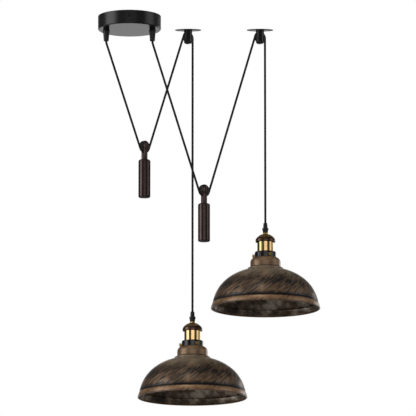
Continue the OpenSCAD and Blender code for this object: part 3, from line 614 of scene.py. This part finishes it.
def turned(name, outline, at, steps, material):
    """A closed solid turned from a closed outline that stays off its axis, with its own place kept."""
    rings = len(outline)
    # The turn starts at the back, on +Y
    across = [(-math.sin(2 * math.pi * s / steps), math.cos(2 * math.pi * s / steps)) for s in range(steps)]
    spots = [(r * c, r * n, z) for c, n in across for r, z in outline]
    points = [tuple((a + v) * MM for a, v in zip(at, spot)) for spot in spots]
    starts = [(s * rings, (s + 1) % steps * rings) for s in range(steps)]
    faces = [
        (here + k, there + k, there + (k + 1) % rings, here + (k + 1) % rings)
        for here, there in starts
        for k in range(rings)
    ]
    mesh = bpy.data.meshes.new(name)
    mesh.from_pydata(points, [], faces)
    mesh.polygons.foreach_set("use_smooth", [True] * len(faces))
    local = mesh.attributes.new("on_shade", "FLOAT_VECTOR", "POINT")
    local.data.foreach_set("vector", [v * MM for spot in spots for v in spot])
    return piece_from(name, mesh, material)


def shares(line):
    """How far along a line each of its points lies, from 0 to 1."""
    run = [0.0]
    for start, end in zip(line, line[1:]):
        run.append(run[-1] + math.dist(start, end))
    return [v / run[-1] for v in run]


def shade(strand):
    """The spun shade, with its rolled grooves and its wired rim."""
    outside, inside = shade_side(0), shade_side(SHADE_WALL)
    bead = arc((RIM_R - BEAD / 2, RIM_Z + BEAD / 2), BEAD / 2, 60, -200, 22)
    outline = outside + bead + inside[::-1]
    piece = turned("spun_shade_" + strand, outline, LAMP[strand], SHADE_STEPS, FINISH["rust"])
    mesh = piece.data
    down = shares(outside) + [1.0] * len(bead) + shares(inside)[::-1]
    inner = mesh.attributes.new("inside", "FLOAT", "POINT")
    inner_share = [0.0] * (len(outside) + len(bead)) + [1.0] * len(inside)
    inner.data.foreach_set("value", inner_share * SHADE_STEPS)
    rings = len(outline)
    wrap = mesh.uv_layers.new(name="wrap")
    for face in mesh.polygons:
        turn = face.index // rings / SHADE_STEPS
        for corner, vertex in zip(face.loop_indices, face.vertices):
            step = vertex // rings
            u = turn if step == face.index // rings else turn + 1 / SHADE_STEPS
            wrap.data[corner].uv = (u, down[vertex % rings])
    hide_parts("shade_" + strand)
    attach(piece, "lamp_" + strand)
    return piece


def tube(name, route, diameter_mm, material, sides=18):
    """A round tube along points in millimetres, closed at its ends, with the length along it kept."""
    spots = [Vector(p) * MM for p in route]
    last = len(spots) - 1
    ways = [(spots[min(k + 1, last)] - spots[max(k - 1, 0)]).normalized() for k in range(len(spots))]
    side = ways[0].orthogonal().normalized()
    points, along, gone = [], [], 0.0
    for k, (spot, way) in enumerate(zip(spots, ways)):
        side = (side - way * side.dot(way)).normalized()
        up = way.cross(side)
        gone += (spot - spots[k - 1]).length if k else 0.0
        along.append(gone)
        for s in range(sides):
            a = 2 * math.pi * s / sides
            points.append(spot + (side * math.cos(a) + up * math.sin(a)) * diameter_mm / 2 * MM)
    faces, uvs = [], []
    for k in range(last):
        for s in range(sides):
            n = (s + 1) % sides
            faces.append((k * sides + s, k * sides + n, (k + 1) * sides + n, (k + 1) * sides + s))
            low, high = s / sides, (s + 1) / sides
            uvs += [(low, along[k]), (high, along[k]), (high, along[k + 1]), (low, along[k + 1])]
    for ring, turn in ((0, -1), (last, 1)):
        cap = [ring * sides + s for s in range(sides)][::turn]
        faces.append(tuple(cap))
        uvs += [(0.5, along[ring])] * sides
    mesh = bpy.data.meshes.new(name)
    mesh.from_pydata([tuple(p) for p in points], [], faces)
    mesh.polygons.foreach_set("use_smooth", [len(f) == 4 for f in faces])
    braid = mesh.uv_layers.new(name="braid")
    braid.data.foreach_set("uv", [v for uv in uvs for v in uv])
    return piece_from(name, mesh, material)


def on_strand(strand, u, z):
    """A point of a strand's upright plane: u runs from the outlet towards the pulley."""
    start, end = Vector(OUTLET[strand]), Vector(PULLEY[strand])
    spot = start + (end - start).normalized() * u
    return (spot.x, spot.y, z)


def strand_angles(strand):
    """The distance to the pulley, and the lean of the loop's two legs off the vertical."""
    reach = math.dist(OUTLET[strand], PULLEY[strand])
    u, z = WHEEL[strand]
    out, back = (u, EXIT_Z - BEND_DROP - z), (reach - u, AXLE_Z - z)
    lean_out = math.atan2(*out) - math.asin(RUN_R / math.hypot(*out))
    lean_back = math.atan2(*back) - math.asin(2 * RUN_R / math.hypot(*back))
    return reach, lean_out, lean_back


def spaced(start, end, step):
    """Points from start to end, its end too, about a step apart."""
    count = max(1, round(math.dist(start, end) / step))
    return [tuple(a + (b - a) * k / count for a, b in zip(start, end)) for k in range(count + 1)]


def cord(strand):
    """The braided cord of one lamp: out of the rose, under the counterweight, over the pulley and down."""
    reach, lean_out, lean_back = strand_angles(strand)
    wheel_u, wheel_z = WHEEL[strand]
    weight = "counterweight_" + strand
    braid = FINISH["braid"]

    bend = BEND_DROP / math.tan(lean_out / 2)
    outward = [
        on_strand(strand, bend * (1 - math.cos(a)), EXIT_Z - bend * math.sin(a))
        for a in (lean_out * k / 6 for k in range(7))
    ]
    foot = on_strand(
        strand, wheel_u - RUN_R * math.cos(lean_out), wheel_z - RUN_R * math.sin(lean_out)
    )
    leg = tube("braided_leg_out_" + strand, outward + spaced(outward[-1], foot, 7)[1:], CORD_D, braid)
    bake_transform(leg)
    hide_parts("cord_out_leg_" + strand)

    sweep = [math.pi + lean_out + (math.pi - lean_out - lean_back) * k / 24 for k in range(25)]
    bight = tube(
        "braided_bight_" + strand,
        [on_strand(strand, wheel_u + RUN_R * math.cos(a), wheel_z + RUN_R * math.sin(a)) for a in sweep],
        CORD_D,
        braid,
    )
    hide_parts("cord_bight_" + strand)
    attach(bight, weight)

    low = on_strand(strand, wheel_u + RUN_R * math.cos(lean_back), wheel_z - RUN_R * math.sin(lean_back))
    high = on_strand(strand, reach - RUN_R * math.cos(lean_back), AXLE_Z + RUN_R * math.sin(lean_back))
    leg = tube("braided_leg_back_" + strand, spaced(high, low, 7), CORD_D, braid)
    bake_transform(leg)
    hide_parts("cord_back_leg_" + strand)

    sweep = [math.pi - lean_back - (math.pi - lean_back) * k / 24 for k in range(25)]
    over = tube(
        "braided_over_" + strand,
        [on_strand(strand, reach + RUN_R * math.cos(a), AXLE_Z + RUN_R * math.sin(a)) for a in sweep],
        CORD_D,
        braid,
    )
    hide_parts("cord_over_" + strand)
    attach(over, "ceiling_set")

    x, y, z = LAMP[strand]
    drop = tube("braided_drop_" + strand, spaced((x, y, AXLE_Z), (x, y, z), 9), CORD_D, braid)
    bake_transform(drop)
    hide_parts("cord_drop_" + strand)


def cord_ends(strand):
    """The cord's two ends: inside the rose, and inside the lamp, each with its insulated cores."""
    x, y = OUTLET[strand]
    mirror = 1 if strand == "a" else -1
    rise = WAY_Z - INLET_BEND
    run = OUTLET_GAP / 2 - INLET_BEND - BLOCK_W / 2 - CORE_RUN
    route = spaced((x, y, EXIT_Z), (x, y, rise), 5)
    route += [
        (x + mirror * INLET_BEND * (1 - math.cos(a)), y, rise + INLET_BEND * math.sin(a))
        for a in (math.radians(15 * k) for k in range(1, 7))
    ]
    level_end = (x + mirror * (INLET_BEND + run), y, WAY_Z)
    route += spaced((x + mirror * INLET_BEND, y, WAY_Z), level_end, 5)[1:]
    sheath = tube("braided_inlet_" + strand, route, CORD_D, FINISH["braid"])
    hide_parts("cord_inlet_" + strand)
    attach(sheath, "ceiling_set")
    lx, ly, lz = LAMP[strand]
    route = spaced((lx, ly, lz), (lx, ly, lz - TAIL_LEN), 5)
    tail = tube("braided_tail_" + strand, route, CORD_D, FINISH["braid"])
    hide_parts("cord_tail_" + strand)
    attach(tail, "lamp_" + strand)
    for k, wire in ((-1, "brown"), (0, "earth"), (1, "blue")):
        start = Vector((x + mirror * (INLET_BEND + run - BITE), y + k * CORE_D * CORE_SPREAD, WAY_Z))
        end = Vector((x + mirror * (INLET_BEND + run + CORE_RUN + BITE), y + k * BLOCK_PITCH, WAY_Z))
        inner = tube(
            wire + "_wire_in_rose_" + strand, curve_between(start, end, Vector((mirror, 0, 0))), CORE_D,
            FINISH[wire], 10,
        )
        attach(inner, "ceiling_set")
        start = Vector((lx + k * CORE_D * CORE_SPREAD, ly, lz - TAIL_LEN + BITE))
        end = Vector((lx + k * BLOCK_PITCH, ly, lz - CORE_FOOT))
        inner = tube(
            wire + "_wire_in_lamp_" + strand, curve_between(start, end, Vector((0, 0, -1))), CORE_D,
            FINISH[wire], 10,
        )
        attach(inner, "lamp_" + strand)


def curve_between(start, end, way):
    """A gentle S from start to end that leaves and arrives in one direction."""
    pull = (end - start).length / 2
    ahead, behind = start + way * pull, end - way * pull
    spots = []
    for k in range(13):
        t = k / 12
        leaving = start * (1 - t) ** 3 + ahead * 3 * t * (1 - t) ** 2
        spots.append(tuple(leaving + behind * 3 * t * t * (1 - t) + end * t**3))
    return spots


def thread_tree():
    """Geometry Nodes of a rolled lamp thread: one round ridge that winds up a spiral."""
    tree = bpy.data.node_groups.new("rolled thread", "GeometryNodeTree")
    for name, kind in (
        ("Radius", "NodeSocketFloat"),
        ("Pitch", "NodeSocketFloat"),
        ("Turns", "NodeSocketFloat"),
        ("Ridge", "NodeSocketFloat"),
        ("Place", "NodeSocketVector"),
        ("Finish", "NodeSocketMaterial"),
    ):
        tree.interface.new_socket(name, in_out="INPUT", socket_type=kind)
    tree.interface.new_socket("Thread", in_out="OUTPUT", socket_type="NodeSocketGeometry")
    sizes = add(tree, "NodeGroupInput").outputs
    height = add(
        tree, "ShaderNodeMath", {"operation": "MULTIPLY"}, {0: sizes["Pitch"], 1: sizes["Turns"]}
    ).outputs[0]
    winding = add(
        tree,
        "GeometryNodeCurveSpiral",
        {"Resolution": 40},
        {
            "Rotations": sizes["Turns"],
            "Start Radius": sizes["Radius"],
            "End Radius": sizes["Radius"],
            "Height": height,
        },
    ).outputs[0]
    ridge = add(
        tree, "GeometryNodeCurvePrimitiveCircle", {"Resolution": 10}, {"Radius": sizes["Ridge"]}
    ).outputs[0]
    made = add(
        tree, "GeometryNodeCurveToMesh", {"Fill Caps": True}, {"Curve": winding, "Profile Curve": ridge}
    ).outputs[0]
    smooth = add(tree, "GeometryNodeSetShadeSmooth", links={"Geometry": made}).outputs[0]
    placed = add(
        tree, "GeometryNodeTransform", links={"Geometry": smooth, "Translation": sizes["Place"]}
    ).outputs[0]
    real = add(tree, "GeometryNodeRealizeInstances", links={"Geometry": placed}).outputs[0]
    coated = add(
        tree, "GeometryNodeSetMaterial", links={"Geometry": real, "Material": sizes["Finish"]}
    ).outputs[0]
    add(tree, "NodeGroupOutput", links={"Thread": coated})
    return tree


def lamp_thread(strand, tree):
    """The lamp's thread inside its shell."""
    x, y, z = LAMP[strand]
    name = "lamp_thread_" + strand
    piece = piece_from(name, bpy.data.meshes.new(name), FINISH["brass"])
    grow = piece.modifiers.new("thread", "NODES")
    grow.node_group = tree
    wanted = {
        "Radius": THREAD_R * MM,
        "Pitch": THREAD_PITCH * MM,
        "Turns": THREAD_TURNS,
        "Ridge": THREAD_RIDGE * MM,
        "Place": (x * MM, y * MM, (z - THREAD_FOOT) * MM),
        "Finish": FINISH["brass"],
    }
    for socket in tree.interface.items_tree:
        if socket.in_out == "INPUT":
            grow[socket.identifier] = wanted[socket.name]
    plain_mesh(piece)
    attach(piece, "lamp_" + strand)


# Nodes, how far their edges are eased in millimetres, and their finishes; the pairs have one for each strand
EASED = [
    ("rose_cup", 0.5, "powder"),
    ("rose_bracket", 0.3, "zinc"),
    ("side_screws", 0.15, "powder"),
    ("terminal_block", 0.3, "block"),
    ("clamp_screws", 0.1, "brass"),
]
EASED_PAIRS = [
    ("outlet", 0.5, "nylon"),
    ("outlet_nut", 0.25, "zinc"),
    ("plate", 0.25, "powder"),
    ("post", 0.3, "enamel"),
    ("pulley_axle", 0.25, "axle"),
    ("pulley_wheel", 0.25, "wheel"),
    ("clevis", 0.35, "bronze"),
    ("weight_axle", 0.25, "axle"),
    ("weight_wheel", 0.25, "wheel"),
    ("weight", 0.3, "bronze"),
    ("grip", 0.4, "nylon"),
    ("cap", 0.3, "cap"),
    ("sleeve", 0.2, "sleeve"),
    ("core", 0.4, "core"),
    ("thread_shell", 0.15, "brass"),
    ("contact", 0.3, "brass"),
    ("fitter", 0.35, "bakelite"),
    ("clamp_ring", 0.3, "nylon"),
    ("thumb_screws", 0.25, "brass"),
]

for node, edge, look in EASED:
    eased(node, edge, FINISH[look])
rolled_thread = thread_tree()
for strand in STRANDS:
    for node, edge, look in EASED_PAIRS:
        eased(node + "_" + strand, edge, FINISH[look])
    shade(strand)
    cord(strand)
    cord_ends(strand)
    lamp_thread(strand, rolled_thread)


# ---------------------------------------------------------------- camera, light and floor

# The camera as it was solved from the ceiling pieces and the lamps: its place, and its angles in degrees
CAMERA_AT = (0.199365, -12.0, -2.73294)
CAMERA_TILT = 100.5676
CAMERA_ANGLE = 4.9193
FLOOR_Z = -7.5

view = bpy.data.cameras.new("pendant camera")
view.sensor_fit = "HORIZONTAL"
view.angle = math.radians(CAMERA_ANGLE)
view.clip_end = 60
camera = bpy.data.objects.new("pendant camera", view)
camera.location = CAMERA_AT
camera.rotation_euler = (math.radians(CAMERA_TILT), 0, 0)
bpy.context.scene.collection.objects.link(camera)
bpy.context.scene.camera = camera


def softbox(name, at, size, glow, look_at=(0.2, 0.15, -0.5)):
    """A soft area lamp of one brightness, turned to the pendant and unseen by the camera."""
    lamp = bpy.data.lights.new(name, "AREA")
    lamp.shape = "RECTANGLE"
    lamp.size, lamp.size_y = size
    lamp.energy = glow * math.pi * size[0] * size[1]
    box = bpy.data.objects.new(name, lamp)
    box.location = at
    box.rotation_euler = (Vector(look_at) - Vector(at)).to_track_quat("-Z", "Y").to_euler()
    box.visible_camera = False
    bpy.context.scene.collection.objects.link(box)


softbox("softbox left", (-3.7, -1.2, 0.5), (2.9, 3.4), 2.2)
softbox("softbox right", (4.2, -0.7, 0.4), (2.4, 3.0), 1.0)
softbox("softbox front", (0.6, -5.6, -0.35), (4.6, 1.8), 1.3)
softbox("softbox behind right", (3.0, 3.4, -0.4), (1.6, 2.2), 2.2)
softbox("softbox low left", (-1.9, 0.75, -3.1), (2.2, 2.2), 1.6)
softbox("softbox above", (-0.5, -2.2, 2.8), (2.4, 1.4), 1.2)

world = bpy.data.worlds.new("white studio")
bpy.context.scene.world = world
world.use_nodes = True
sky = world.node_tree
sky.nodes.clear()
path = add(sky, "ShaderNodeLightPath").outputs
heading = add(sky, "ShaderNodeTexCoord").outputs["Generated"]
around = add(sky, "ShaderNodeSeparateXYZ", links={"Vector": heading})
# Gloss shows the white backdrop straight behind the pendant, and the dim studio round it
backdrop = add(
    sky,
    "ShaderNodeMapRange",
    {"From Min": 0.86, "From Max": 0.97, "To Min": 0.08, "To Max": 1.0},
    {"Value": around.outputs["Y"]},
).outputs["Result"]
shown = calc(sky, "MAXIMUM", path["Is Glossy Ray"], path["Is Transmission Ray"])
fill = add(sky, "ShaderNodeMix", {"data_type": "FLOAT", 2: 0.55}, {0: shown, 3: backdrop}).outputs[0]
seen = path["Is Camera Ray"]
level = add(sky, "ShaderNodeMix", {"data_type": "FLOAT", 3: 1.0}, {0: seen, 2: fill}).outputs[0]
glow = add(sky, "ShaderNodeBackground", {"Color": linear("#ffffff")}, {"Strength": level}).outputs[0]
add(sky, "ShaderNodeOutputWorld", links={"Surface": glow})

ground = bmesh.new()
bmesh.ops.create_circle(ground, cap_ends=True, segments=64, radius=30)
floor_mesh = bpy.data.meshes.new("studio_floor")
ground.to_mesh(floor_mesh)
ground.free()
floor_mesh.transform(Matrix.Translation((0, 0, FLOOR_Z)))
pale, pale_tree, pale_shader, pale_place = finish("pale studio floor", Roughness=0.8)
pale_tree.links.new(
    shades(pale_tree, speckle(pale_tree, pale_place, 900), [(0.3, "#f4f4f2"), (0.7, "#fafaf9")]),
    pale_shader.inputs["Base Color"],
)
floor = piece_from("studio_floor", floor_mesh, pale)
floor.visible_glossy = False

scene = bpy.context.scene
scene.view_settings.view_transform = "Standard"
